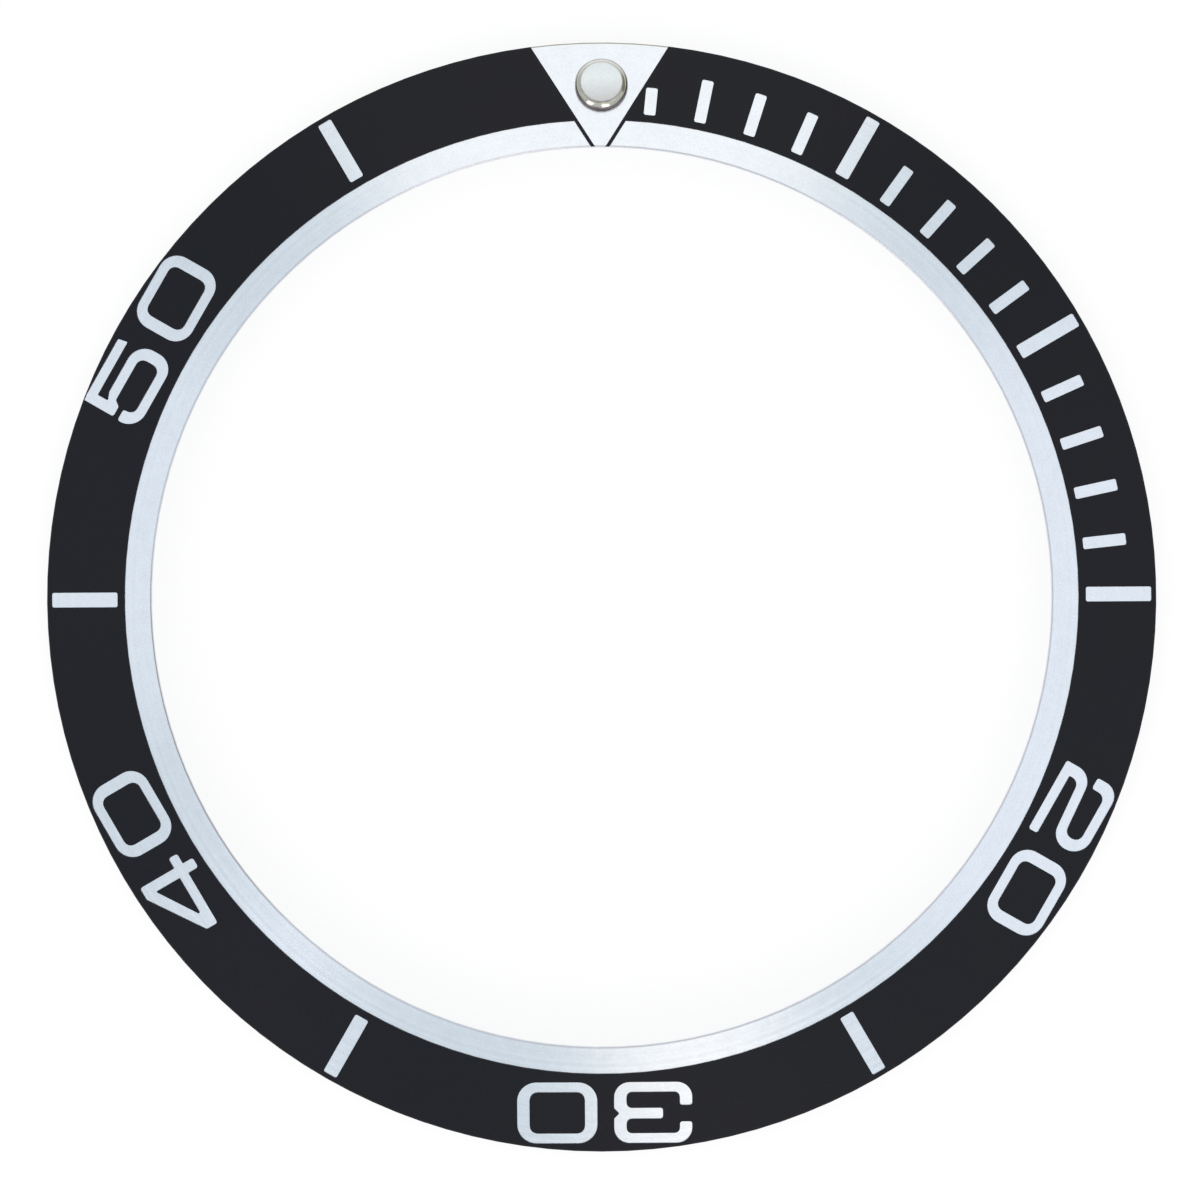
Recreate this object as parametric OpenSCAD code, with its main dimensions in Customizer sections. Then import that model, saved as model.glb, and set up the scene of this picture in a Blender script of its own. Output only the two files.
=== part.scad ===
// Bezel insert of a diving watch: a thin sloped aluminium ring with a black anodised face.
// The numerals, minute bars, triangle and inner band are openings in the black film, through
// which the bare aluminium shows. A luminous pip in a polished cup stands in the triangle.
// Millimetres. The origin is on the ring's axis, in the plane of the foot under its rim.
// +Z goes up through the face and +Y towards the pip at 12 o'clock.

/* [Ring] */
// Outside diameter, which drops into the bezel's recess
outer_d = 38; // [37.6:0.1:38.6]
// Width of the ring, from the bore that clears the crystal to the outside
ring_w = 3.625; // [3.4:0.025:3.75]
// Thickness at the outer edge
rim_t = 0.55; // [0.45:0.05:0.8]
// Fall of the face and of the hollow back from the bore to the rim, in degrees
slope = 15; // [8:0.5:18]
// Width of the flat foot under the rim, on which the insert seats
foot_w = 0.3; // [0.2:0.05:0.8]
// Bevel that breaks each edge of the face
edge_break = 0.04; // [0.02:0.01:0.06]
// Bevel that breaks each edge of the back
back_break = 0.08; // [0.04:0.01:0.12]

/* [Black film] */
// Thickness of the anodised film
film_t = 0.04; // [0.03:0.005:0.06]
// Width of the bare band beside the bore
band_w = 0.93; // [0.7:0.01:1]
// Turn of the whole film pattern from the pip's hole, anticlockwise, in degrees
film_turn = 0.3; // [-0.5:0.05:0.5]

/* [Triangle] */
// Angle at the triangle's inner point, in degrees
point_angle = 64.4; // [58:0.1:67]
// How far inside the bore's wall the triangle's point would lie
point_inset = 0.28; // [0.15:0.01:0.4]
// Width of the black line along each side of the triangle
outline_w = 0.115; // [0.08:0.005:0.16]
// Clockwise shift of the triangle from the pattern's centre line
triangle_shift = 0.04; // [0:0.01:0.06]

/* [Minute bars] */
// Gap from the bare band to the inner ends of the bars
mark_gap = 0.24; // [0.15:0.01:0.32]
// Gap from the outer ends of the five-minute bars to the rim
rim_gap = 0.16; // [0.12:0.01:0.3]
// Width of a five-minute bar
long_bar_w = 0.5; // [0.4:0.01:0.6]
// Width of a minute bar
short_bar_w = 0.4; // [0.3:0.01:0.5]
// Length of a minute bar
short_bar_l = 1.52; // [1:0.02:1.8]
// Length of the first bar, which is cut short beside the triangle
first_bar_l = 0.97; // [0.6:0.01:1]
// Radius at the corners of the bars
bar_corner_r = 0.06; // [0.02:0.01:0.12]
// Last minute that has a bar of its own
last_minute = 15; // [5:1:15]

/* [Numerals] */
// Height of a figure
digit_h = 2.14; // [2.06:0.02:2.2]
// Width of the figures 2, 3 and 5
digit_w = 2.67; // [2.4:0.01:2.8]
// Width of the figures 0 and 4
wide_digit_w = 2.74; // [2.5:0.01:2.85]
// Space between the two figures of a numeral
digit_gap = 0.58; // [0.4:0.02:0.7]
// Width of the upright strokes
stem_w = 0.42; // [0.34:0.01:0.48]
// Thickness of the level strokes
stroke_t = 0.36; // [0.3:0.01:0.42]
// Radius of a figure's outside corners
corner_r = 0.66; // [0.5:0.02:0.72]
// Radius of a figure's inside corners
counter_r = 0.27; // [0.15:0.01:0.3]
// Radius at the ends of the strokes
end_r = 0.08; // [0.02:0.01:0.12]

/* [Pip] */
// Distance of the pip's axis from the outside of the ring
pip_inset = 1.5; // [1.4:0.02:1.7]
// Diameter of the cup's head
head_d = 1.8; // [1.6:0.02:1.9]
// Height of the head above the face
head_h = 0.38; // [0.3:0.02:0.5]
// Radius of the curve in the head's polished shoulder
shoulder_r = 0.36; // [0.3:0.02:0.6]
// How far the shoulder falls from the lip to the wall
shoulder_drop = 0.18; // [0.1:0.01:0.2]
// Width of the flat lip round the luminous disc
lip_w = 0.01; // [0.005:0.005:0.03]
// Diameter of the luminous disc
lume_d = 1.42; // [1.2:0.02:1.46]
// Depth of the cup that holds the luminous paint
cup_depth = 0.24; // [0.18:0.02:0.26]
// How far the luminous disc's edge lies below the lip
lume_sunk = 0.02; // [0.01:0.01:0.06]
// Height of the luminous disc's crown above its edge
lume_crown = 0.08; // [0.04:0.01:0.12]
// Diameter of the stem pressed through the ring
stem_d = 1.1; // [0.9:0.02:1.2]
// Depth of the flat seat cut in the face under the head
seat_depth = 0.04; // [0.02:0.01:0.08]
// Clearance round the stem and round the head in its seat
pip_clear = 0.01; // [0.005:0.005:0.02]

/* [Hidden] */

outer_r = outer_d / 2;
bore_r = outer_r - ring_w;
face_r = bore_r + band_w;
mark_r = face_r + mark_gap;
digit_r = (face_r + outer_r - digit_h) / 2;
pip_r = outer_r - pip_inset;
crown_z = rim_t + ring_w * tan(slope);
sheet_t = rim_t + foot_w * tan(slope);

// Minute, tens figure, and how far the printed pair sits clockwise and outward of its place
NUMERALS = [[20, 2, -0.03, 0], [30, 3, 0, 0], [40, 4, 0.05, -0.02], [50, 5, 0.05, 0.06]];
// Radius of the sharp corners inside the figures
fine_r = 0.03;
// Shares of the outside corner radius at a nearly round bowl and at a squarer one
full_bowl = 0.9;
small_bowl = 0.8;
// Share of the inside corner radius in the bowls of the 3
tight_bowl = 0.65;
// Height of the level stroke of the 4 above the foot of its upright
four_foot = 0.4;
// Reach of the level stroke of the 4 from the left side of its upright
four_arm = 0.76;
four_upright = wide_digit_w - four_arm;

// Longest straight step along a rounded corner
arc_step = 0.12;
// Largest share of a straight side that the arcs at its two ends may take
arc_share = 0.98;
// Facets of a full circle where the design is shown as a mesh
round_fn = 180;
// Spare height of a cutter past what it cuts
spare = 1;

// Height of the bare face at a distance from the axis
function face_z(r) = rim_t + (outer_r - r) * tan(slope);

// Section of the bare face from the bore's bevel to the rim's, lifted by a height
function face_path(lift) =
    let (
        inside = bore_r + edge_break,
        outside = outer_r - edge_break
    )
    [
        [bore_r, face_z(inside) - edge_break + lift],
        [inside, face_z(inside) + lift],
        [outside, face_z(outside) + lift],
        [outer_r, face_z(outside) - edge_break + lift]
    ];

function reversed(list) = [for (i = [len(list) - 1:-1:0]) list[i]];

function unit(v) = v / norm(v);

// The place of a corner, which has the form [x, y, radius]
function place(c) = [c[0], c[1]];

// Half of the angle at corner c between its neighbours p and n
function half_angle(p, c, n) = acos(unit(place(p) - place(c)) * unit(place(n) - place(c))) / 2;

// Points of the arc that rounds corner c between its neighbours p and n
function round_corner(p, c, n, radius) =
    let (
        here = place(c),
        back = unit(place(p) - here),
        ahead = unit(place(n) - here),
        half = half_angle(p, c, n),
        centre = here + unit(back + ahead) * radius / sin(half),
        start = here + back * radius / tan(half) - centre,
        turn = (cross(back, ahead) < 0 ? 1 : -1) * (180 - 2 * half),
        steps = max(2, ceil(abs(turn) / 180 * PI * radius / arc_step))
    )
    [for (i = [0:steps])
        let (a = turn * i / steps)
        centre + [start[0] * cos(a) - start[1] * sin(a), start[0] * sin(a) + start[1] * cos(a)]];

// A closed outline from a list of corners. Two arcs too large for a side between them are made
// smaller until they fit on it.
function rounded(corners) =
    let (
        n = len(corners),
        last = n - 1,
        reach = [for (i = [0:last])
            corners[i][2] / tan(half_angle(corners[(i + last) % n], corners[i], corners[(i + 1) % n]))],
        fit = [for (i = [0:last])
            let (j = (i + 1) % n)
            min(1, arc_share * norm(place(corners[j]) - place(corners[i])) / (reach[i] + reach[j]))]
    )
    [for (i = [0:last])
        let (before = (i + last) % n, radius = corners[i][2] * min(fit[before], fit[i]))
        each round_corner(corners[before], corners[i], corners[(i + 1) % n], radius)];

// Turns a child that points along +Y to its minute, clockwise from 12 o'clock
module at_minute(minute) {
    rotate(-6 * minute) children();
}

// An upright prism through the whole ring
module cutter(points) {
    translate([0, 0, -spare]) linear_extrude(crown_z + 2 * spare) polygon(points);
}

// A layer of the film's thickness on the whole face, bevels included
module face_layer() {
    rotate_extrude($fn = round_fn) polygon(concat(face_path(0), reversed(face_path(film_t))));
}

// The triangle that opens outward at 12 o'clock, grown by a margin on both sides
module triangle(margin) {
    half = point_angle / 2;
    point_y = bore_r - point_inset - margin / sin(half);
    far_y = outer_r + spare;
    far_x = (far_y - point_y) * tan(half);
    translate([triangle_shift, 0, 0]) cutter([[0, point_y], [far_x, far_y], [-far_x, far_y]]);
}

// Everything inside the black face, apart from the lines along the triangle
module bare_band() {
    difference() {
        translate([0, 0, -spare]) cylinder(r = face_r, h = crown_z + 2 * spare, $fn = round_fn);
        triangle(outline_w);
    }
}

// One bar, from the marks' inner circle outward
module bar(width, length) {
    left = -width / 2;
    right = width / 2;
    far = mark_r + length;
    cutter(rounded([
        [left, mark_r, bar_corner_r],
        [right, mark_r, bar_corner_r],
        [right, far, bar_corner_r],
        [left, far, bar_corner_r]
    ]));
}

// Bars at the first minutes, with a longer and wider one every five
module minute_bars() {
    for (minute = [1:last_minute - 1]) {
        if (minute % 5 != 0) {
            at_minute(minute) bar(short_bar_w, minute == 1 ? first_bar_l : short_bar_l);
        }
    }
}

// Bars at five, ten and fifteen, and midway between the numerals
module five_minute_bars() {
    for (minute = [5, 10, 15, 25, 35, 45, 55]) {
        at_minute(minute) bar(long_bar_w, outer_r - rim_gap - mark_r);
    }
}

// The figures, as corners in a box that starts at their lower left
function zero() = [
    [0, 0, corner_r],
    [wide_digit_w, 0, corner_r],
    [wide_digit_w, digit_h, corner_r],
    [0, digit_h, corner_r]
];

function zero_centre() = [
    [stem_w, stroke_t, counter_r],
    [wide_digit_w - stem_w, stroke_t, counter_r],
    [wide_digit_w - stem_w, digit_h - stroke_t, counter_r],
    [stem_w, digit_h - stroke_t, counter_r]
];

// The 2 has a hook at its upper left and a middle stroke that falls to the left
function two() =
    let (
        hook_l = 0.9,
        fall = 0.18,
        slant_t = stroke_t - 0.03,
        right = digit_w,
        under = digit_h - stroke_t,
        hook = digit_h - hook_l,
        low = (digit_h - stroke_t) / 2,
        high = low + slant_t
    )
    [
        [0, 0, end_r],
        [right, 0, end_r],
        [right, stroke_t, end_r],
        [stem_w, stroke_t, fine_r],
        [stem_w, low - fall, counter_r],
        [right, low, full_bowl * corner_r],
        [right, digit_h, corner_r],
        [0, digit_h, small_bowl * corner_r],
        [0, hook, end_r],
        [stem_w, hook, end_r],
        [stem_w, under, counter_r],
        [right - stem_w, under, counter_r],
        [right - stem_w, high, counter_r],
        [0, high - fall, full_bowl * corner_r]
    ];

// The 3 has hooks of two lengths, a short middle stroke and a notch where its bowls meet
function three() =
    let (
        upper_hook_l = 0.76,
        lower_hook_l = 0.82,
        middle_l = 1.67,
        middle_t = stroke_t + 0.03,
        middle_lift = 0.025,
        notch = 0.17,
        bend = small_bowl * corner_r,
        tight = tight_bowl * counter_r,
        right = digit_w,
        inside = right - stem_w,
        under = digit_h - stroke_t,
        low = (digit_h - middle_t) / 2 + middle_lift,
        high = low + middle_t,
        middle = (low + high) / 2
    )
    [
        [0, 0, bend],
        [right, 0, bend],
        [right, middle - notch, end_r],
        [right - notch, middle, fine_r],
        [right, middle + notch, end_r],
        [right, digit_h, bend],
        [0, digit_h, bend],
        [0, digit_h - upper_hook_l, end_r],
        [stem_w, digit_h - upper_hook_l, end_r],
        [stem_w, under, tight],
        [inside, under, tight],
        [inside, high, tight],
        [right - middle_l, high, end_r],
        [right - middle_l, low, end_r],
        [inside, low, tight],
        [inside, stroke_t, tight],
        [stem_w, stroke_t, tight],
        [stem_w, lower_hook_l, end_r],
        [0, lower_hook_l, end_r]
    ];

// The 4 is a slanted stroke, a level one and an upright near the right side
function four() =
    let (
        nose_h = 0.09,
        peak_w = 0.08,
        upright_w = stem_w - 0.05,
        right = four_upright + upright_w,
        high = four_foot + stroke_t
    )
    [
        [four_upright, 0, end_r],
        [right, 0, end_r],
        [right, four_foot, fine_r],
        [wide_digit_w, four_foot, end_r],
        [wide_digit_w, high, end_r],
        [right, high, fine_r],
        [right, digit_h, end_r],
        [four_upright - peak_w, digit_h, end_r],
        [0, high + nose_h, end_r],
        [0, four_foot, end_r],
        [four_upright, four_foot, fine_r]
    ];

function four_centre() =
    let (
        nose_w = 0.53,
        peak_t = 0.43,
        high = four_foot + stroke_t
    )
    [
        [nose_w, high, fine_r],
        [four_upright, high, fine_r],
        [four_upright, digit_h - peak_t, fine_r]
    ];

// The 5 has a straight flag above a bowl that stays open at its lower left
function five() =
    let (
        flag_inset = 0.04,
        flag_short = 0.17,
        flag_slant = 0.07,
        bowl_drop = 0.64,
        neck_drop = 0.11,
        neck_w = 0.28,
        foot_w = 0.16,
        foot_drop = 0.2,
        mouth = 0.17,
        right = digit_w,
        under = digit_h - stroke_t,
        bowl_top = digit_h - bowl_drop,
        bowl_under = bowl_top - stroke_t,
        stem_end = bowl_under - foot_drop,
        hook = stem_end - mouth
    )
    [
        [0, 0, corner_r],
        [right, 0, full_bowl * corner_r],
        [right, bowl_top, corner_r],
        [stem_w + neck_w, bowl_top, end_r],
        [stem_w, bowl_top - neck_drop, fine_r],
        [stem_w, under, fine_r],
        [right - flag_short, under, fine_r],
        [right - flag_short - flag_slant, digit_h, fine_r],
        [flag_inset, digit_h, fine_r],
        [flag_inset, stem_end, end_r],
        [stem_w, stem_end, end_r],
        [stem_w + foot_w, bowl_under, end_r],
        [right - stem_w, bowl_under, counter_r],
        [right - stem_w, stroke_t, counter_r],
        [stem_w, stroke_t, counter_r],
        [stem_w, hook, end_r],
        [0, hook, end_r]
    ];

function tens(digit) = digit == 2 ? two() : digit == 3 ? three() : digit == 4 ? four() : five();
function tens_w(digit) = digit == 4 ? wide_digit_w : digit_w;

// Moves corners sideways and out to the figures' circle
function placed(corners, x, lift) = [for (c = corners) [c[0] + x, c[1] + digit_r + lift, c[2]]];

// Left side of a numeral whose tens figure is given, centred on its minute
function pair_left(digit) = -(tens_w(digit) + digit_gap + wide_digit_w) / 2;

// The whole figures of the four numerals
module numerals() {
    for (n = NUMERALS) {
        at_minute(n[0]) {
            left = pair_left(n[1]) + n[2];
            cutter(rounded(placed(tens(n[1]), left, n[3])));
            cutter(rounded(placed(zero(), left + tens_w(n[1]) + digit_gap, n[3])));
        }
    }
}

// The closed middles of the four noughts and of the 4
module numeral_middles() {
    for (n = NUMERALS) {
        at_minute(n[0]) {
            left = pair_left(n[1]) + n[2];
            cutter(rounded(placed(zero_centre(), left + tens_w(n[1]) + digit_gap, n[3])));
            if (n[1] == 4) {
                cutter(rounded(placed(four_centre(), left, n[3])));
            }
        }
    }
}

// Takes a child drawn on a level face to the pip's place on the slope
module at_pip() {
    translate([0, pip_r, face_z(pip_r)]) rotate([-slope, 0, 0]) children();
}

// Dished aluminium ring of even thickness, with a drilled and spot-faced hole for the pip
module insert_ring() {
    back_inside = bore_r + back_break;
    back_z = face_z(back_inside) - sheet_t;
    back_path = [
        [outer_r, back_break],
        [outer_r - back_break, 0],
        [outer_r - foot_w, 0],
        [back_inside, back_z],
        [bore_r, back_z + back_break]
    ];
    color("lightsteelblue")
    difference() {
        rotate_extrude($fn = round_fn) polygon(concat(face_path(0), back_path));
        at_pip() {
            translate([0, 0, -crown_z - spare])
                cylinder(d = stem_d + 2 * pip_clear, h = crown_z + 2 * spare, $fn = 48);
            translate([0, 0, -seat_depth])
                cylinder(d = head_d + 2 * pip_clear, h = spare, $fn = 64);
        }
    }
}

// Black film with its openings, and the thin lines that it leaves along the triangle
module black_film() {
    color("#26272b")
    rotate(film_turn)
    difference() {
        face_layer();
        bare_band();
        triangle(0);
        minute_bars();
        five_minute_bars();
        numerals();
    }
}

// The islands of film inside the noughts and the 4
module numeral_centres() {
    color("#26272b")
    rotate(film_turn)
    intersection() {
        face_layer();
        numeral_middles();
    }
}

// Polished cup, with a stem that ends short of the ring's back
module pip_cup() {
    head_r = head_d / 2;
    lume_r = lume_d / 2;
    floor_z = head_h - cup_depth;
    stem_end = back_break - sheet_t * cos(slope);
    run = head_r - lume_r - lip_w;
    fall = atan(shoulder_drop / run);
    half = asin(norm([run, shoulder_drop]) / 2 / shoulder_r);
    middle = [
        head_r - shoulder_r * sin(fall + half),
        head_h - shoulder_drop - shoulder_r * cos(fall + half)
    ];
    shoulder = [for (i = [0:6]) let (lean = fall + half - half * i / 3)
        middle + shoulder_r * [sin(lean), cos(lean)]
    ];
    color("silver")
    at_pip()
        rotate_extrude($fn = 64)
            polygon(concat(
                [[0, stem_end], [stem_d / 2, stem_end], [stem_d / 2, -seat_depth], [head_r, -seat_depth]],
                shoulder,
                [[lume_r, head_h], [lume_r, floor_z], [0, floor_z]]
            ));
}

// Luminous paint that fills the cup, with a low crown
module pip_lume() {
    lume_r = lume_d / 2;
    floor_z = head_h - cup_depth;
    top_z = head_h - lume_sunk + lume_crown;
    dome_r = (lume_r * lume_r + lume_crown * lume_crown) / 2 / lume_crown;
    reach = asin(lume_r / dome_r);
    color("honeydew")
    at_pip()
        rotate_extrude($fn = 64)
            polygon(concat(
                [[0, floor_z], [lume_r, floor_z]],
                [for (i = [0:4]) let (lean = reach - reach * i / 4)
                    [dome_r * sin(lean), top_z - dome_r * (1 - cos(lean))]
                ]
            ));
}

insert_ring();
black_film();
numeral_centres();
pip_cup();
pip_lume();
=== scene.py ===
"""Looks of a diving watch's bezel insert: a sloped aluminium ring with a black film and a pip.

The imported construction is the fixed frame. The ring, the film and the islands of film keep their
solids and get finishes. The pip's cup and its luminous paint are turned again with finer curves.
Lengths are in metres, apart from the sizes whose names end in _mm. Clock angles run clockwise
from the pip, as seen from above, and zenith angles run down from straight overhead.
"""

import logging
import math
from abc import ABC, abstractmethod
from dataclasses import dataclass, field
from enum import Enum

import bmesh
import bpy
from mathutils import Matrix, Vector


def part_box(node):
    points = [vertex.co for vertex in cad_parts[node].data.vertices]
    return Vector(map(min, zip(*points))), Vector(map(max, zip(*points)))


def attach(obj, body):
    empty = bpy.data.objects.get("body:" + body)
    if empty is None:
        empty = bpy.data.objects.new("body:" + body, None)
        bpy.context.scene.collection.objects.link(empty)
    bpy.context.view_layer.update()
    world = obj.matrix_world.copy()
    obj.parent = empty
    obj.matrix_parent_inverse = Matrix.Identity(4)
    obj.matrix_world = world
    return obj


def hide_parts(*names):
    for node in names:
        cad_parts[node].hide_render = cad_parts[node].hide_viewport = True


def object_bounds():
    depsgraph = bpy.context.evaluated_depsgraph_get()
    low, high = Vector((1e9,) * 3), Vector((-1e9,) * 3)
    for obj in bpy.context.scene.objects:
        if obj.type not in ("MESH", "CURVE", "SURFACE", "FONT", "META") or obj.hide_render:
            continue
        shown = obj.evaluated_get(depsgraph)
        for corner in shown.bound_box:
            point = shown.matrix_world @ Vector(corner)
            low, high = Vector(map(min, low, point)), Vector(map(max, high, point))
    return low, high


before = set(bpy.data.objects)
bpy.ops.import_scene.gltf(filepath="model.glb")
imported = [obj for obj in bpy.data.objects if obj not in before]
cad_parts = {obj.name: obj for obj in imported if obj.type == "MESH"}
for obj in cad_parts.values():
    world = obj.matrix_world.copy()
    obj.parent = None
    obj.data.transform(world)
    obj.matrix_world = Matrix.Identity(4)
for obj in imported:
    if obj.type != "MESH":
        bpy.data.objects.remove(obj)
CAD_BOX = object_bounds()

LOG = logging.getLogger("bezel_insert")
MM = 0.001
BODY = "root"

Colour = tuple[float, float, float]
Point = tuple[float, float]
Socket = bpy.types.NodeSocket
Value = float | Colour | Socket

BLACK: Colour = (0.0, 0.0, 0.0)
WHITE: Colour = (1.0, 1.0, 1.0)

# Tints of the soft boxes
WARM: Colour = (1.2, 0.985, 0.785)
ROSY: Colour = (1.17, 1.0, 0.97)
AMBER: Colour = (1.34, 1.0, 0.7)

# The middle of a noise texture's range
NOISE_MIDDLE = 0.5

# Places of a Mix node's colour sockets, whose names repeat for each kind of data
MIX_SHARE = 0
MIX_FIRST = 6
MIX_SECOND = 7
MIX_RESULT = 2


class CadNode(Enum):
    """Names of the solids in the frame."""

    RING = "insert_ring"
    FILM = "black_film"
    ISLANDS = "numeral_centres"
    CUP = "pip_cup"
    LUME = "pip_lume"


class Slot(Enum):
    """Names of the record's material slots."""

    ALUMINIUM = "bare_aluminium"
    BLACK = "black_anodising"
    STEEL = "polished_steel"
    PAINT = "luminous_paint"


class Seed(Enum):
    """Where along the noise's fourth axis each pattern lies, so that no two are alike."""

    SATIN_CLOUDS = 1.0
    SATIN_GRAIN = 2.0
    FILM_CLOUDS = 3.0
    FILM_GRAIN = 4.0
    CUP_SMUDGES = 5.0
    PAINT_GRAIN = 6.0
    PAINT_CLOUDS = 7.0


def towards(clock_deg: float, zenith_deg: float) -> Vector:
    """Gives the direction of a place in the studio, seen from the insert.

    Args:
        clock_deg: Its clock angle.
        zenith_deg: Its zenith angle.

    Returns:
        A vector of length 1.
    """
    clock, zenith = math.radians(clock_deg), math.radians(zenith_deg)
    flat = math.sin(zenith)
    return Vector((flat * math.sin(clock), flat * math.cos(clock), math.cos(zenith)))


class Graph:
    """Short calls that add nodes to one node tree and join them."""

    def __init__(self, tree: bpy.types.NodeTree) -> None:
        """Empties the tree and keeps it.

        Args:
            tree: The node tree of a material, a world or a group.
        """
        self.tree = tree
        tree.nodes.clear()

    def put(self, socket: Socket, value: Value) -> None:
        """Joins a socket to another one, or gives it a plain value.

        Args:
            socket: An input.
            value: An output to join it to, a number or a colour.
        """
        if isinstance(value, Socket):
            self.tree.links.new(value, socket)
        elif isinstance(value, tuple):
            socket.default_value = (*value, 1.0)
        else:
            socket.default_value = value

    def add(self, kind: str, settings: dict[str, object] | None = None, **inputs: Value) -> bpy.types.Node:
        """Adds a node.

        Args:
            kind: The node's type.
            settings: Its own attributes.
            inputs: Values for its sockets, with _ for a space in a socket's name.

        Returns:
            The new node.
        """
        node = self.tree.nodes.new(kind)
        for name, value in (settings or {}).items():
            setattr(node, name, value)
        for name, value in inputs.items():
            self.put(node.inputs[name.replace("_", " ")], value)
        return node

    def math(self, operation: str, *inputs: Value) -> Socket:
        """Adds a math node.

        Args:
            operation: What it does.
            inputs: Its numbers, in order.

        Returns:
            The node's output.
        """
        node = self.add("ShaderNodeMath", {"operation": operation})
        for socket, value in zip(node.inputs, inputs):
            self.put(socket, value)
        return node.outputs[0]

    def toned(self, colour: Socket, tone: Socket) -> Socket:
        """Multiplies a colour by a tone that changes over the surface.

        Args:
            colour: The colour at a tone of 1.
            tone: The tone.

        Returns:
            The colour to use.
        """
        node = self.add("ShaderNodeVectorMath", {"operation": "SCALE"})
        self.put(node.inputs[0], colour)
        self.put(node.inputs["Scale"], tone)
        return node.outputs[0]

    def round_axis(self, place: Socket) -> tuple[Socket, Socket]:
        """Splits a place into its distance from the Z axis and its height.

        Args:
            place: The coordinates.

        Returns:
            The distance and the height.
        """
        parts = self.add("ShaderNodeSeparateXYZ", Vector=place)
        flat = self.add("ShaderNodeCombineXYZ", X=parts.outputs["X"], Y=parts.outputs["Y"])
        length = self.add("ShaderNodeVectorMath", {"operation": "LENGTH"}, Vector=flat.outputs[0])
        return length.outputs["Value"], parts.outputs["Z"]

    def ramped(self, value: Socket, start: float, end: float) -> Socket:
        """Turns a value into a soft share.

        Args:
            value: The value.
            start: Where the share is 0.
            end: Where the share is 1.

        Returns:
            The share.
        """
        soft = {"interpolation_type": "SMOOTHSTEP"}
        node = self.add("ShaderNodeMapRange", soft, Value=value, From_Min=start, From_Max=end)
        return node.outputs[0]

    def blended(self, share: Socket, first: Value, second: Value) -> Socket:
        """Mixes two colours.

        Args:
            share: How much of the second colour shows.
            first: The colour at a share of 0.
            second: The colour at a share of 1.

        Returns:
            The mixed colour.
        """
        node = self.add("ShaderNodeMix", {"data_type": "RGBA"})
        self.put(node.inputs[MIX_SHARE], share)
        self.put(node.inputs[MIX_FIRST], first)
        self.put(node.inputs[MIX_SECOND], second)
        return node.outputs[MIX_RESULT]

    def swung(self, height: Socket, swing: float, middle: Value) -> Socket:
        """Lets a value rise and fall with noise.

        Args:
            height: The noise.
            swing: How much the value changes from the noise's lowest to its highest.
            middle: The value where the noise is at its middle.

        Returns:
            The value.
        """
        centred = self.math("SUBTRACT", height, NOISE_MIDDLE)
        return self.math("MULTIPLY_ADD", centred, swing, middle)

    def bumped(self, height: Socket, depth_mm: float, strength: float) -> Socket:
        """Turns noise into a normal.

        Args:
            height: The noise.
            depth_mm: How deep its pattern is.
            strength: How much of it the light shows.

        Returns:
            The normal.
        """
        node = self.add("ShaderNodeBump", Height=height, Strength=strength, Distance=depth_mm * MM)
        return node.outputs[0]


class Effect(ABC):
    """A node group that several finishes use, built once."""

    name: str
    inputs: dict[str, float]
    outputs: tuple[str, ...]
    octaves: float
    octave_share: float

    @classmethod
    def tree(cls) -> bpy.types.NodeTree:
        """Gives the group's tree and builds it at the first call.

        Returns:
            The node group.
        """
        found = bpy.data.node_groups.get(cls.name)
        if found is not None:
            return found
        tree = bpy.data.node_groups.new(cls.name, "ShaderNodeTree")
        tree.interface.new_socket("Place", in_out="INPUT", socket_type="NodeSocketVector")
        for name, value in cls.inputs.items():
            socket = tree.interface.new_socket(name, in_out="INPUT", socket_type="NodeSocketFloat")
            socket.default_value = value
        for name in cls.outputs:
            tree.interface.new_socket(name, in_out="OUTPUT", socket_type="NodeSocketFloat")
        graph = Graph(tree)
        given = graph.add("NodeGroupInput")
        result = graph.add("NodeGroupOutput")
        for name, value in cls.fill(graph, given).items():
            graph.put(result.inputs[name], value)
        return tree

    @classmethod
    @abstractmethod
    def fill(cls, graph: Graph, given: bpy.types.Node) -> dict[str, Socket]:
        """Adds the group's nodes.

        Args:
            graph: The group's tree.
            given: The node that holds the group's inputs.

        Returns:
            What each output of the group is joined to.
        """

    @classmethod
    def use(cls, graph: Graph, place: Socket, **inputs: float) -> bpy.types.Node:
        """Places the group in a material.

        Args:
            graph: The material's tree.
            place: The coordinates that the effect follows, in metres.
            inputs: The material's own values for the group.

        Returns:
            The group's node.
        """
        return graph.add("ShaderNodeGroup", {"node_tree": cls.tree()}, Place=place, **inputs)

    @staticmethod
    def spread(graph: Graph, value: Socket, contrast: Value) -> Socket:
        """Turns noise round a half into a tone round 1.

        Args:
            graph: The group's tree.
            value: The noise.
            contrast: How far the tone leaves 1.

        Returns:
            The tone.
        """
        centred = graph.math("SUBTRACT", value, NOISE_MIDDLE)
        doubled = graph.math("MULTIPLY", centred, 2.0)
        return graph.math("MULTIPLY_ADD", doubled, contrast, 1.0)


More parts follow.
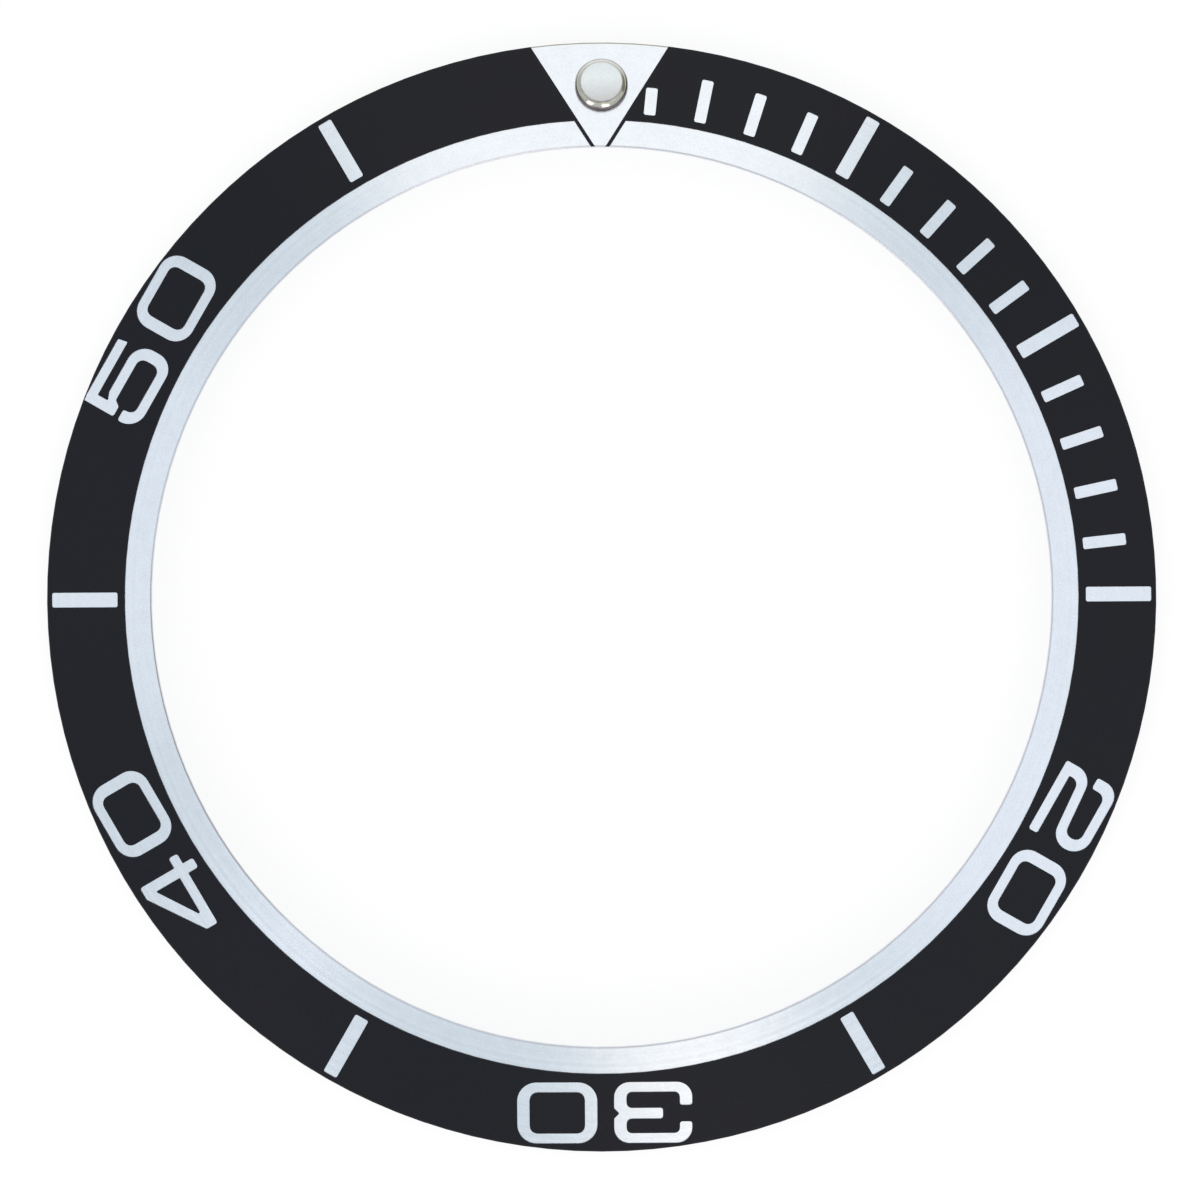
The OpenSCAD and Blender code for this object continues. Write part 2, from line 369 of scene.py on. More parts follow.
class Grain(Effect):
    """Even grain in three dimensions, whose size is in millimetres."""

    name = "grain"
    inputs = {"Size": 0.1, "Contrast": 0.05, "Seed": 0.0}
    outputs = ("Tone", "Height")
    octaves = 2.0
    octave_share = 0.6

    @classmethod
    def fill(cls, graph: Graph, given: bpy.types.Node) -> dict[str, Socket]:
        """Adds scaled noise and its tone.

        Args:
            graph: The group's tree.
            given: The node that holds the group's inputs.

        Returns:
            The tone and the height.
        """
        scale = graph.math("DIVIDE", 1 / MM, given.outputs["Size"])
        scaled = graph.add("ShaderNodeVectorMath", {"operation": "SCALE"})
        graph.put(scaled.inputs[0], given.outputs["Place"])
        graph.put(scaled.inputs["Scale"], scale)
        noise = graph.add(
            "ShaderNodeTexNoise",
            {"noise_dimensions": "4D"},
            Vector=scaled.outputs[0],
            W=given.outputs["Seed"],
            Scale=1.0,
            Detail=cls.octaves,
            Roughness=cls.octave_share,
        )
        height = noise.outputs[0]
        return {"Tone": cls.spread(graph, height, given.outputs["Contrast"]), "Height": height}

    @classmethod
    def over(
        cls, graph: Graph, place: Socket, size_mm: float, contrast: float, seed: Seed
    ) -> bpy.types.Node:
        """Lays the grain over a surface.

        Args:
            graph: The material's tree.
            place: The coordinates that the grain follows.
            size_mm: The size of its spots.
            contrast: How far its tone leaves 1.
            seed: Which pattern it is.

        Returns:
            The group's node.
        """
        return cls.use(graph, place, Size=size_mm, Contrast=contrast, Seed=seed.value)


class TurnedLines(Effect):
    """Fine rings round the Z axis, as a lathe leaves them."""

    name = "turned_lines"
    inputs = {"Spacing": 0.05, "Contrast": 0.03, "Climb": 1.7}
    outputs = ("Tone", "Height")
    octaves = 3.0
    octave_share = 0.65

    @classmethod
    def fill(cls, graph: Graph, given: bpy.types.Node) -> dict[str, Socket]:
        """Adds noise that depends on the distance from the axis and on the height.

        Args:
            graph: The group's tree.
            given: The node that holds the group's inputs.

        Returns:
            The tone and the height.
        """
        radius, height = graph.round_axis(given.outputs["Place"])
        path = graph.math("MULTIPLY_ADD", height, given.outputs["Climb"], radius)
        scale = graph.math("DIVIDE", 1 / MM, given.outputs["Spacing"])
        noise = graph.add(
            "ShaderNodeTexNoise",
            {"noise_dimensions": "1D"},
            W=graph.math("MULTIPLY", path, scale),
            Scale=1.0,
            Detail=cls.octaves,
            Roughness=cls.octave_share,
        )
        height = noise.outputs[0]
        return {"Tone": cls.spread(graph, height, given.outputs["Contrast"]), "Height": height}

    @classmethod
    def over(cls, graph: Graph, place: Socket, spacing_mm: float, contrast: float) -> bpy.types.Node:
        """Lays the rings over a surface.

        Args:
            graph: The material's tree.
            place: The coordinates whose Z axis the rings go round.
            spacing_mm: How far apart they are.
            contrast: How far their tone leaves 1.

        Returns:
            The group's node.
        """
        return cls.use(graph, place, Spacing=spacing_mm, Contrast=contrast)


@dataclass(frozen=True)
class Finish(ABC):
    """The surface of one kind of material."""

    name: str
    slot: Slot
    base: Colour
    roughness: float

    @abstractmethod
    def wire(self, graph: Graph, shader: bpy.types.Node) -> None:
        """Joins what changes over the surface to the shader.

        Args:
            graph: The material's tree.
            shader: Its Principled BSDF.
        """

    def place(self, graph: Graph) -> Socket:
        """Gives the coordinates that the finish follows, from the middle of the insert's foot."""
        return graph.add("ShaderNodeTexCoord").outputs["Object"]

    def material(self) -> bpy.types.Material:
        """Builds the material.

        Returns:
            The new material, under the finish's name.
        """
        material = bpy.data.materials.new(self.name)
        material.use_nodes = True
        graph = Graph(material.node_tree)
        shader = graph.add("ShaderNodeBsdfPrincipled")
        graph.add("ShaderNodeOutputMaterial", Surface=shader.outputs[0])
        self.wire(graph, shader)
        return material

    def dress(self, piece: bpy.types.Object) -> None:
        """Gives every material slot of a piece this finish.

        Args:
            piece: A mesh object.
        """
        material = bpy.data.materials.get(self.name) or self.material()
        if not piece.data.materials:
            piece.data.materials.append(material)
        for place in piece.material_slots:
            place.link = "OBJECT"
            place.material = material


@dataclass(frozen=True)
class TurnedAluminium(Finish):
    """Satin aluminium with fine turned rings and darker edges.

    The rim's broken edge and the bore's edge carry painted shade, and the wall under the rim is a darker
    grey.
    """

    name: str = "turned_aluminium"
    slot: Slot = Slot.ALUMINIUM
    base: Colour = (0.706, 0.766, 0.833)
    roughness: float = 0.225
    anisotropy: float = 0.5
    quarter_turn: float = 0.25
    line_spacing_mm: float = 0.07
    line_contrast: float = 0.06
    line_depth_mm: float = 0.0006
    line_strength: float = 0.5
    cloud_mm: float = 0.5
    cloud_contrast: float = 0.06
    grain_mm: float = 0.07
    grain_contrast: float = 0.1
    roughness_swing: float = 0.1
    # Painted shade on the broken edge of the rim
    rim: Colour = (0.41, 0.39, 0.32)
    rim_from_mm: float = 18.97
    wall: Colour = (0.6, 0.62, 0.645)
    wall_to_mm: float = 0.5
    # Painted shade on the edge of the bore
    bore: Colour = (0.67, 0.69, 0.75)
    bore_to_mm: float = 15.42
    edge_fade_mm: float = 0.03

    def wire(self, graph: Graph, shader: bpy.types.Node) -> None:
        """Joins rings, clouds, grain and edges to the colour, the roughness and the bump.

        Args:
            graph: The material's tree.
            shader: Its Principled BSDF.
        """
        place = self.place(graph)
        lines = TurnedLines.over(graph, place, self.line_spacing_mm, self.line_contrast)
        clouds = Grain.over(graph, place, self.cloud_mm, self.cloud_contrast, Seed.SATIN_CLOUDS)
        grain = Grain.over(graph, place, self.grain_mm, self.grain_contrast, Seed.SATIN_GRAIN)
        tone = graph.math("MULTIPLY", lines.outputs["Tone"], clouds.outputs["Tone"])
        tone = graph.math("MULTIPLY", tone, grain.outputs["Tone"])
        radius, height = graph.round_axis(place)
        wall = graph.ramped(height, (self.wall_to_mm + self.edge_fade_mm) * MM, self.wall_to_mm * MM)
        rim = graph.ramped(radius, (self.rim_from_mm - self.edge_fade_mm) * MM, self.rim_from_mm * MM)
        bore = graph.ramped(radius, (self.bore_to_mm + self.edge_fade_mm) * MM, self.bore_to_mm * MM)
        # Painted shade on the rim's edge and the bore's edge
        outside = graph.blended(wall, self.rim, self.wall)
        ground = graph.blended(bore, graph.blended(rim, self.base, outside), self.bore)
        graph.put(shader.inputs["Base Color"], graph.toned(ground, tone))
        rings = lines.outputs["Height"]
        graph.put(shader.inputs["Roughness"], graph.swung(rings, self.roughness_swing, self.roughness))
        shader.inputs["Metallic"].default_value = 1.0
        shader.inputs["Anisotropic"].default_value = self.anisotropy
        shader.inputs["Anisotropic Rotation"].default_value = self.quarter_turn
        tangent = graph.add("ShaderNodeTangent", {"direction_type": "RADIAL", "axis": "Z"})
        graph.put(shader.inputs["Tangent"], tangent.outputs[0])
        normal = graph.bumped(rings, self.line_depth_mm, self.line_strength)
        graph.put(shader.inputs["Normal"], normal)


@dataclass(frozen=True)
class BlackAnodising(Finish):
    """Dyed anodised film: satin black with a faint violet cast."""

    name: str = "dyed_black_film"
    slot: Slot = Slot.BLACK
    base: Colour = (0.0032, 0.0048, 0.0086)
    violet: Colour = (0.0042, 0.0045, 0.0096)
    roughness: float = 0.3
    gloss: float = 0.2
    cloud_mm: float = 2.6
    cloud_reach: Point = (0.35, 0.65)
    grain_mm: float = 0.06
    grain_contrast: float = 0.7
    grain_depth_mm: float = 0.003
    grain_strength: float = 0.35
    roughness_swing: float = 0.12

    def wire(self, graph: Graph, shader: bpy.types.Node) -> None:
        """Joins clouds of violet and fine grain to the colour, the roughness and the bump.

        Args:
            graph: The material's tree.
            shader: Its Principled BSDF.
        """
        place = self.place(graph)
        clouds = Grain.over(graph, place, self.cloud_mm, 0.0, Seed.FILM_CLOUDS)
        grain = Grain.over(graph, place, self.grain_mm, self.grain_contrast, Seed.FILM_GRAIN)
        share = graph.ramped(clouds.outputs["Height"], *self.cloud_reach)
        cast = graph.blended(share, self.base, self.violet)
        graph.put(shader.inputs["Base Color"], graph.toned(cast, grain.outputs["Tone"]))
        pores = grain.outputs["Height"]
        graph.put(shader.inputs["Roughness"], graph.swung(pores, self.roughness_swing, self.roughness))
        shader.inputs["Specular IOR Level"].default_value = self.gloss
        normal = graph.bumped(pores, self.grain_depth_mm, self.grain_strength)
        graph.put(shader.inputs["Normal"], normal)


@dataclass(frozen=True)
class PipSeat:
    """Where the pip stands on the slope, from the same sizes as the solids."""

    slope_deg: float = 15.0
    rim_mm: float = 0.55
    inset_mm: float = 1.5
    foot_mm: float = 0.3

    def lean(self) -> float:
        """Gives the turn about X that brings Z to the pip's axis."""
        return -math.radians(self.slope_deg)

    def origin(self) -> Vector:
        """Finds the point where the pip's axis meets the face.

        Returns:
            The point, in the insert's frame.
        """
        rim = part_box(CadNode.RING.value)[1].x
        y = rim - self.inset_mm * MM
        return Vector((0, y, self.rim_mm * MM - (rim - y) * math.tan(self.lean())))

    def sheet_mm(self) -> float:
        """Gives the ring's thickness, square to its face."""
        return self.rim_mm * math.cos(self.lean()) - self.foot_mm * math.sin(self.lean())

    def matrix(self) -> Matrix:
        """Gives the matrix from the pip's frame, with Z along its axis, to the insert's."""
        return Matrix.Translation(self.origin()) @ Matrix.Rotation(self.lean(), 4, "X")


@dataclass(frozen=True)
class PipFinish(Finish):
    """A finish that follows the pip's own axis.

    A pair of lengths is how far outward of the axis, towards the rim, a tint of painted shade starts and
    is full.
    """

    seat: PipSeat = PipSeat()

    def place(self, graph: Graph) -> Socket:
        """Gives the coordinates in the pip's frame.

        Args:
            graph: The material's tree.

        Returns:
            The coordinates, from where the pip's axis meets the face.
        """
        turn = graph.add("ShaderNodeMapping", {"vector_type": "TEXTURE"}, Vector=super().place(graph))
        turn.inputs["Location"].default_value = self.seat.origin()
        turn.inputs["Rotation"].default_value = (self.seat.lean(), 0, 0)
        return turn.outputs[0]

    def inward(self, graph: Graph, place: Socket, reach_mm: Point) -> Socket:
        """Gives a share that grows from the pip's outer side to its inner side.

        Args:
            graph: The material's tree.
            place: The coordinates in the pip's frame.
            reach_mm: How far outward of the axis the share is 0, and where it is 1.

        Returns:
            The share.
        """
        along = graph.add("ShaderNodeSeparateXYZ", Vector=place).outputs["Y"]
        return graph.ramped(along, reach_mm[0] * MM, reach_mm[1] * MM)


@dataclass(frozen=True)
class PolishedSteel(PipFinish):
    """Polished steel with hairlines round the pip and smudges, a rougher wall, and painted shade on the
    inner side, the wall and the lip.
    """

    name: str = "mirror_steel"
    slot: Slot = Slot.STEEL
    base: Colour = (0.71, 0.7, 0.65)
    # Painted shade: darker and more olive towards the pip's inner side
    inner_side_shade: Colour = (0.53, 0.52, 0.455)
    inner_side_shade_mm: Point = (0.8, 0.1)
    # Painted shade on the cup's wall, strongest on its inner side
    wall_shade: Colour = (0.24, 0.19, 0.19)
    wall_shade_mm: Point = (0.05, -0.55)
    # Painted shade in a thin ring at the lip, where the paint meets the cup, strongest on its inner side
    lip_shade: Colour = (0.33, 0.325, 0.285)
    lip_shade_mm: Point = (0.45, -0.45)
    dull_shaded_to_mm: float = 0.21
    polished_from_mm: float = 0.245
    dull_roughness: float = 0.3
    under_mm: float = -0.04
    under_fade_mm: float = 0.02
    lip_shade_to_mm: float = 0.735
    lip_shade_fade_mm: float = 0.04
    roughness: float = 0.1
    hairline_mm: float = 0.02
    hairline_contrast: float = 0.08
    hairline_depth_mm: float = 0.0003
    hairline_strength: float = 0.4
    smudge_mm: float = 0.22
    smudge_contrast: float = 0.2
    smudge_swing: float = 0.1

    def wire(self, graph: Graph, shader: bpy.types.Node) -> None:
        """Joins hairlines, smudges, the rougher wall and the painted shade of the inner side, the wall and
        the lip to the shader.

        Args:
            graph: The material's tree.
            shader: Its Principled BSDF.
        """
        place = self.place(graph)
        lines = TurnedLines.over(graph, place, self.hairline_mm, self.hairline_contrast)
        smudges = Grain.over(graph, place, self.smudge_mm, self.smudge_contrast, Seed.CUP_SMUDGES)
        tone = graph.math("MULTIPLY", lines.outputs["Tone"], smudges.outputs["Tone"])
        radius, height = graph.round_axis(place)
        # The wall is rougher and carries painted shade
        wall = graph.ramped(height, self.polished_from_mm * MM, self.dull_shaded_to_mm * MM)
        above = graph.ramped(height, (self.under_mm - self.under_fade_mm) * MM, self.under_mm * MM)
        wall = graph.math("MULTIPLY", wall, above)
        # Painted shade on the wall, stronger towards the inner side
        side = graph.math("MULTIPLY", wall, self.inward(graph, place, self.wall_shade_mm))
        # Painted shade in the ring at the lip
        lip = graph.ramped(radius, (self.lip_shade_to_mm + self.lip_shade_fade_mm) * MM, self.lip_shade_to_mm * MM)
        lip_shade = graph.math("MULTIPLY", lip, self.inward(graph, place, self.lip_shade_mm))
        # Painted shade towards the inner side, then at the lip and on the wall
        ground = graph.blended(self.inward(graph, place, self.inner_side_shade_mm), self.base, self.inner_side_shade)
        ground = graph.blended(lip_shade, ground, self.lip_shade)
        ground = graph.blended(side, ground, self.wall_shade)
        graph.put(shader.inputs["Base Color"], graph.toned(ground, tone))
        rough = graph.swung(smudges.outputs["Height"], self.smudge_swing, self.roughness)
        rough = graph.math("MULTIPLY_ADD", wall, self.dull_roughness, rough)
        graph.put(shader.inputs["Roughness"], rough)
        shader.inputs["Metallic"].default_value = 1.0
        normal = graph.bumped(lines.outputs["Height"], self.hairline_depth_mm, self.hairline_strength)
        graph.put(shader.inputs["Normal"], normal)


@dataclass(frozen=True)
class LuminousPaint(PipFinish):
    """Pale grainy paint with painted shade, a little darker towards its inner side."""

    name: str = "pale_grainy_paint"
    slot: Slot = Slot.PAINT
    base: Colour = (0.89, 0.945, 0.955)
    # Painted shade: darker towards the paint's inner side
    shaded_side: Colour = (0.61, 0.615, 0.62)
    shaded_side_mm: Point = (0.3, -0.75)
    roughness: float = 0.7
    gloss: float = 0.3
    grain_mm: float = 0.05
    grain_contrast: float = 0.12
    cloud_mm: float = 0.3
    cloud_contrast: float = 0.05
    grain_depth_mm: float = 0.006
    grain_strength: float = 0.5

    def wire(self, graph: Graph, shader: bpy.types.Node) -> None:
        """Joins the painted shade on the inner side, clouds and grain to the colour and the bump.

        Args:
            graph: The material's tree.
            shader: Its Principled BSDF.
        """
        place = self.place(graph)
        # Painted shade towards the inner side
        ground = graph.blended(self.inward(graph, place, self.shaded_side_mm), self.base, self.shaded_side)
        grain = Grain.over(graph, place, self.grain_mm, self.grain_contrast, Seed.PAINT_GRAIN)
        clouds = Grain.over(graph, place, self.cloud_mm, self.cloud_contrast, Seed.PAINT_CLOUDS)
        tone = graph.math("MULTIPLY", grain.outputs["Tone"], clouds.outputs["Tone"])
        graph.put(shader.inputs["Base Color"], graph.toned(ground, tone))
        shader.inputs["Roughness"].default_value = self.roughness
        shader.inputs["Specular IOR Level"].default_value = self.gloss
        normal = graph.bumped(grain.outputs["Height"], self.grain_depth_mm, self.grain_strength)
        graph.put(shader.inputs["Normal"], normal)


def arc(centre: Point, radius: float, start: float, end: float, steps: int) -> list[Point]:
    """Gives points along an arc.

    Args:
        centre: The arc's centre.
        radius: Its radius.
        start: The first angle, in degrees.
        end: The last angle, in degrees.
        steps: How many straight steps stand for the arc.

    Returns:
        The points, both ends included.
    """
    angles = (math.radians(start + (end - start) * i / steps) for i in range(steps + 1))
    return [(centre[0] + radius * math.cos(a), centre[1] + radius * math.sin(a)) for a in angles]


def turned(name: str, profile_mm: list[Point], segments: int, sharp_deg: float) -> bpy.types.Object:
    """Turns a profile round the Z axis into a closed mesh.

    Args:
        name: The piece's name.
        profile_mm: Radius and height of each point, from the axis and back to it.
        segments: Steps round the axis.
        sharp_deg: Edges that turn by more than this stay sharp.

    Returns:
        The new object, linked to the scene.
    """
    mesh = bmesh.new()
    rings: list[list[bmesh.types.BMVert]] = []
    for radius, height in profile_mm:
        if radius == 0:
            rings.append([mesh.verts.new((0, 0, height * MM))])
            continue
        angles = (2 * math.pi * i / segments for i in range(segments))
        rings.append([
            mesh.verts.new((radius * MM * math.cos(a), radius * MM * math.sin(a), height * MM))
            for a in angles
        ])
    for lower, upper in zip(rings, rings[1:]):
        for i in range(segments):
            j = (i + 1) % segments
            if len(lower) == 1:
                mesh.faces.new((lower[0], upper[j], upper[i]))
            elif len(upper) == 1:
                mesh.faces.new((lower[i], lower[j], upper[0]))
            else:
                mesh.faces.new((lower[i], lower[j], upper[j], upper[i]))
    bmesh.ops.recalc_face_normals(mesh, faces=mesh.faces)
    data = bpy.data.meshes.new(name)
    mesh.to_mesh(data)
    mesh.free()
    data.shade_smooth()
    data.set_sharp_from_angle(angle=math.radians(sharp_deg))
    piece = bpy.data.objects.new(name, data)
    bpy.context.scene.collection.objects.link(piece)
    return piece


@dataclass
class Ring:
    """The turned aluminium ring, which keeps its solid."""

    finish: Finish = field(default_factory=TurnedAluminium)

    def build(self) -> list[bpy.types.Object]:
        """Dresses the ring.

        Returns:
            The ring's node.
        """
        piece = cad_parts[CadNode.RING.value]
        self.finish.dress(piece)
        return [piece]


@dataclass
class Marking:
    """The black film with its openings, and the islands inside the figures."""

    finish: Finish = field(default_factory=BlackAnodising)

    def build(self) -> list[bpy.types.Object]:
        """Dresses the film and its islands.

        Returns:
            Both nodes.
        """
        pieces = [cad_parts[node.value] for node in (CadNode.FILM, CadNode.ISLANDS)]
        for piece in pieces:
            self.finish.dress(piece)
        return pieces


@dataclass
class Pip:
    """The polished cup in the triangle and the luminous paint in it.

    Their sizes are those of the solids that they stand for.
    """

    seat: PipSeat = PipSeat()
    back_break_mm: float = 0.08
    head_mm: float = 1.8
    head_h_mm: float = 0.38
    shoulder_mm: float = 0.36
    shoulder_drop_mm: float = 0.18
    lip_mm: float = 0.01
    lume_mm: float = 1.42
    cup_depth_mm: float = 0.24
    crown_mm: float = 0.08
    sunk_mm: float = 0.02
    stem_mm: float = 1.1
    seat_mm: float = 0.04
    paint_gap_mm: float = 0.001
    segments: int = 192
    shoulder_steps: int = 16
    dome_steps: int = 24
    sharp_deg: float = 40.0
    cup_finish: Finish = field(default_factory=PolishedSteel)
    paint_finish: Finish = field(default_factory=LuminousPaint)

    def stem_end_mm(self) -> float:
        """Gives the height of the stem's end, which stops just short of the ring's back."""
        return self.back_break_mm - self.seat.sheet_mm()

    def cup_profile(self) -> list[Point]:
        """Draws the cup's section, from the stem's end over the shoulder to the floor.

        Returns:
            Radius and height of each point, in the pip's frame.
        """
        head, lume, stem = self.head_mm / 2, self.lume_mm / 2, self.stem_mm / 2
        floor = self.head_h_mm - self.cup_depth_mm
        run = head - lume - self.lip_mm
        fall = math.degrees(math.atan(self.shoulder_drop_mm / run))
        half = math.degrees(math.asin(math.hypot(run, self.shoulder_drop_mm) / 2 / self.shoulder_mm))
        low, high = 90 - fall - half, 90 - fall + half
        middle = (
            head - self.shoulder_mm * math.cos(math.radians(low)),
            self.head_h_mm - self.shoulder_drop_mm - self.shoulder_mm * math.sin(math.radians(low)),
        )
        return [
            (0, self.stem_end_mm()),
            (stem, self.stem_end_mm()),
            (stem, -self.seat_mm),
            (head, -self.seat_mm),
            *arc(middle, self.shoulder_mm, low, high, self.shoulder_steps),
            (lume, self.head_h_mm),
            (lume, floor),
            (0, floor),
        ]

    def paint_profile(self) -> list[Point]:
        """Draws the paint's section, a low dome on a round plug.

        Returns:
            Radius and height of each point, in the pip's frame.
        """
        radius = self.lume_mm / 2 - self.paint_gap_mm
        floor = self.head_h_mm - self.cup_depth_mm + self.paint_gap_mm
        top = self.head_h_mm - self.sunk_mm + self.crown_mm
        curve = (radius**2 + self.crown_mm**2) / 2 / self.crown_mm
        edge = math.degrees(math.acos(radius / curve))
        dome = arc((0, top - curve), curve, edge, 90, self.dome_steps)[:-1]
        return [(0, floor), (radius, floor), *dome, (0, top)]

    def build(self) -> list[bpy.types.Object]:
        """Turns the cup and the paint, dresses them and sets them in place of their solids.

        Returns:
            The two pieces.
        """
        made = []
        for node, name, profile, finish in (
            (CadNode.CUP, "pip_cup_turned", self.cup_profile(), self.cup_finish),
            (CadNode.LUME, "pip_lume_turned", self.paint_profile(), self.paint_finish),
        ):
            piece = turned(name, profile, self.segments, self.sharp_deg)
            piece.data.transform(self.seat.matrix())
            finish.dress(piece)
            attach(piece, BODY)
            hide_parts(node.value)
            made.append(piece)
        return made


@dataclass(frozen=True)
class SoftBox:
    """A soft lamp that faces the insert, placed by its direction from the middle.

    Its width and height are the angles that it fills, seen from there.
    """

    name: str
    clock_deg: float
    zenith_deg: float
    width_deg: float
    height_deg: float
    radiance: float
    colour: Colour
    distance_m: float = 0.5

    def build(self) -> None:
        """Adds the lamp, with the power that gives it its radiance."""
        out = towards(self.clock_deg, self.zenith_deg)
        lamp = bpy.data.lights.new(self.name, "AREA")
        lamp.shape = "RECTANGLE"
        lamp.size = 2 * self.distance_m * math.tan(math.radians(self.width_deg) / 2)
        lamp.size_y = 2 * self.distance_m * math.tan(math.radians(self.height_deg) / 2)
        lamp.energy = self.radiance * math.pi * lamp.size * lamp.size_y
        lamp.color = self.colour
        holder = bpy.data.objects.new(self.name, lamp)
        holder.location = out * self.distance_m
        holder.rotation_mode = "QUATERNION"
        holder.rotation_quaternion = (-out).to_track_quat("-Z", "Y")
        holder.visible_camera = False
        bpy.context.scene.collection.objects.link(holder)


@dataclass
class Studio:
    """The pale floor, the tent of light with its dark flag, and the soft boxes.

    A box has a name, a clock angle, a zenith angle, a width, a height, a radiance and a tint. A
    stop of the sky is the height of a direction, from 0 to 1, and the tent's level there.
    """

    floor_radius_m: float = 4.0
    floor_segments: int = 96
    floor_gap_mm: float = 0.02
    floor_colour: Colour = (0.2, 0.2, 0.2)
    floor_glow: float = 0.815
    boxes: tuple[SoftBox, ...] = (
        SoftBox("box_noon", 0.2, 30.0, 32.6, 30.0, 0.408, WARM),
        SoftBox("box_three", 97.5, 30.0, 45.5, 30.0, 0.228, ROSY),
        SoftBox("box_six", 169.0, 30.0, 12.0, 30.0, 0.33, AMBER),
        SoftBox("box_nine", 278.0, 30.0, 26.0, 30.0, 0.17, ROSY),
        SoftBox("strip_seven", 221.0, 30.0, 5.0, 30.0, 0.15, ROSY),
        SoftBox("window_left", 222.0, 63.0, 19.0, 32.0, 1.95, ROSY),
        SoftBox("window_right", 165.0, 63.0, 23.0, 32.0, 2.05, ROSY),
    )
    sky_tint: Colour = (0.953, 1.0, 1.028)
    sky: tuple[Point, ...] = (
        (0.0, 0.69),
        (0.3, 0.82),
        (0.6, 0.873),
        (0.955, 0.873),
        (0.975, 0.28),
        (1.0, 0.22),
    )
    flag_clock_deg: float = 70.0
    flag_zenith_deg: float = 78.0
    flag_reach_deg: float = 27.0
    flag_fade_deg: float = 8.0
    flag_colour: Colour = (0.34, 0.33, 0.29)

    def floor(self) -> bpy.types.Object:
        """Adds the floor just under the insert's foot.

        Returns:
            The floor.
        """
        mesh = bmesh.new()
        radius, segments = self.floor_radius_m, self.floor_segments
        bmesh.ops.create_circle(mesh, cap_ends=True, radius=radius, segments=segments)
        data = bpy.data.meshes.new("floor")
        mesh.to_mesh(data)
        mesh.free()
        piece = bpy.data.objects.new("floor", data)
        piece.location.z = CAD_BOX[0].z - self.floor_gap_mm * MM
        bpy.context.scene.collection.objects.link(piece)
        data.materials.append(self.floor_material())
        return piece

    def floor_material(self) -> bpy.types.Material:
        """Builds matt card that takes shadows and, by its glow, looks white to the camera and in gloss.

        Returns:
            The floor's material.
        """
        material = bpy.data.materials.new("white_card")
        material.use_nodes = True
        graph = Graph(material.node_tree)
        card = graph.add("ShaderNodeBsdfDiffuse", Color=self.floor_colour)
        glow = graph.add("ShaderNodeEmission", Color=WHITE, Strength=self.floor_glow)
        rays = graph.add("ShaderNodeLightPath")
        seen = graph.math("MAXIMUM", rays.outputs["Is Camera Ray"], rays.outputs["Is Glossy Ray"])
        seen = graph.math("MAXIMUM", seen, rays.outputs["Is Transmission Ray"])
        dark = graph.add("ShaderNodeEmission", Color=BLACK)
        lit = graph.add("ShaderNodeMixShader", Fac=seen)
        graph.put(lit.inputs[1], dark.outputs[0])
        graph.put(lit.inputs[2], glow.outputs[0])
        total = graph.add("ShaderNodeAddShader")
        graph.put(total.inputs[0], card.outputs[0])
        graph.put(total.inputs[1], lit.outputs[0])
        back = graph.add("ShaderNodeBsdfTransparent")
        side = graph.add("ShaderNodeNewGeometry").outputs["Backfacing"]
        shown = graph.add("ShaderNodeMixShader", Fac=side)
        graph.put(shown.inputs[1], total.outputs[0])
        graph.put(shown.inputs[2], back.outputs[0])
        graph.add("ShaderNodeOutputMaterial", Surface=shown.outputs[0])
        return material

    def flag(self, graph: Graph, direction: Socket) -> Socket:
        """Gives the share of the dark flag, which the camera itself doesn't see.

        Args:
            graph: The world's tree.
            direction: Where a ray goes.

        Returns:
            The share.
        """
        near = graph.add("ShaderNodeVectorMath", {"operation": "DOT_PRODUCT"})
        graph.put(near.inputs[0], direction)
        near.inputs[1].default_value = towards(self.flag_clock_deg, self.flag_zenith_deg)
        outside = math.cos(math.radians(self.flag_reach_deg))
        inside = math.cos(math.radians(self.flag_reach_deg - self.flag_fade_deg))
        share = graph.ramped(near.outputs["Value"], outside, inside)
        seen = graph.add("ShaderNodeLightPath").outputs["Is Camera Ray"]
        return graph.math("MULTIPLY", share, graph.math("SUBTRACT", 1.0, seen))

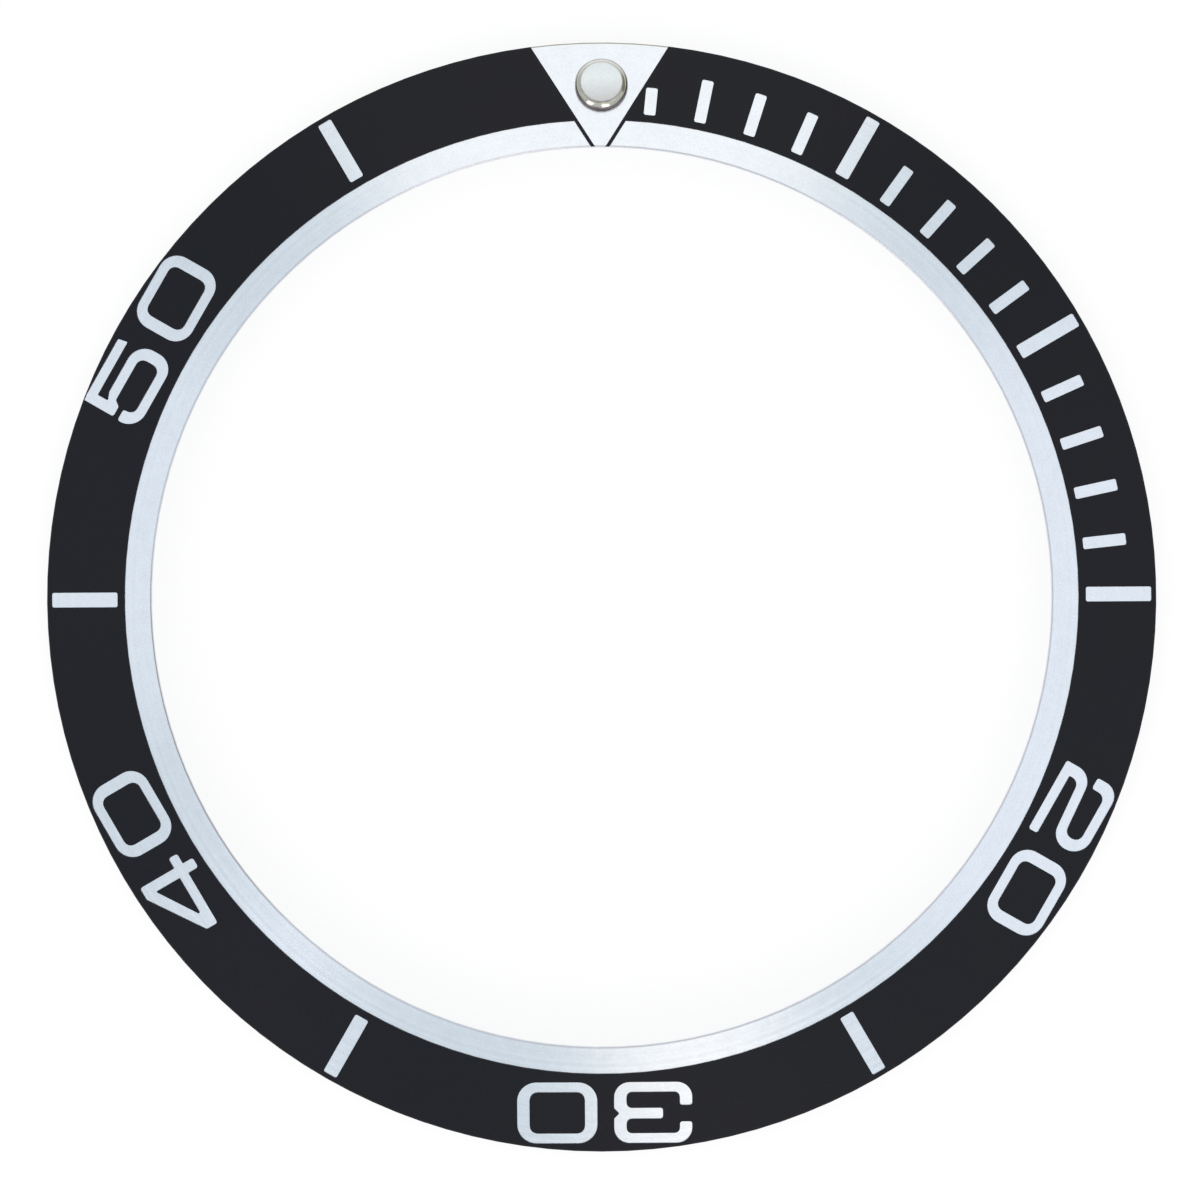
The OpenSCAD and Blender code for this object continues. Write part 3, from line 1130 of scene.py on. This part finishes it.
    def light_tent(self) -> None:
        """Builds the world: pale, softer towards the floor, with a dim opening overhead and the flag."""
        world = bpy.data.worlds.new("light_tent")
        world.use_nodes = True
        graph = Graph(world.node_tree)
        direction = graph.add("ShaderNodeTexCoord").outputs["Generated"]
        up = graph.add("ShaderNodeSeparateXYZ", Vector=direction).outputs["Z"]
        ramp = graph.add("ShaderNodeValToRGB", Fac=up)
        stops = ramp.color_ramp.elements
        while len(stops) < len(self.sky):
            stops.new(1.0)
        for stop, (height, level) in zip(stops, self.sky):
            stop.position = height
            stop.color = (*(level * part for part in self.sky_tint), 1.0)
        shown = graph.blended(self.flag(graph, direction), ramp.outputs[0], self.flag_colour)
        light = graph.add("ShaderNodeBackground", Color=shown, Strength=1.0)
        graph.add("ShaderNodeOutputWorld", Surface=light.outputs[0])
        bpy.context.scene.world = world

    def build(self) -> None:
        """Builds the floor, the tent and each soft box."""
        self.floor()
        self.light_tent()
        for box in self.boxes:
            box.build()


@dataclass
class PhotoCamera:
    """A camera straight above the insert, framed as the photograph is.

    ring_px is the ring's middle in the photograph, and px_per_mm is the scale at the rim's height.
    """

    image_px: float = 1200.0
    ring_px: Point = (601.7, 597.0)
    px_per_mm: float = 29.19
    rim_mm: float = 0.55
    distance_mm: float = 260.0
    roll_deg: float = -0.04
    sensor_mm: float = 36.0
    nearest_m: float = 0.01
    furthest_m: float = 20.0

    def build(self) -> bpy.types.Object:
        """Adds the camera and makes it the scene's.

        Returns:
            The camera.
        """
        data = bpy.data.cameras.new("photo_camera")
        data.sensor_width = self.sensor_mm
        data.lens = self.sensor_mm * self.distance_mm * self.px_per_mm / self.image_px
        data.clip_start = self.nearest_m
        data.clip_end = self.furthest_m
        camera = bpy.data.objects.new("photo_camera", data)
        middle = self.image_px / 2
        camera.location = (
            (middle - self.ring_px[0]) / self.px_per_mm * MM,
            (self.ring_px[1] - middle) / self.px_per_mm * MM,
            (self.rim_mm + self.distance_mm) * MM,
        )
        camera.rotation_euler = (0.0, 0.0, math.radians(self.roll_deg))
        bpy.context.scene.collection.objects.link(camera)
        bpy.context.scene.camera = camera
        return camera


def main() -> None:
    """Builds the insert and its studio in order and reports each piece."""
    logging.basicConfig(level=logging.INFO, format="%(message)s")
    bpy.context.scene.view_settings.view_transform = "Standard"
    PhotoCamera().build()
    for assembly in (Ring(), Marking(), Pip()):
        for piece in assembly.build():
            LOG.info("%s: %s, %d faces", type(assembly).__name__, piece.name, len(piece.data.polygons))
    Studio().build()


if __name__ == "__main__":
    main()
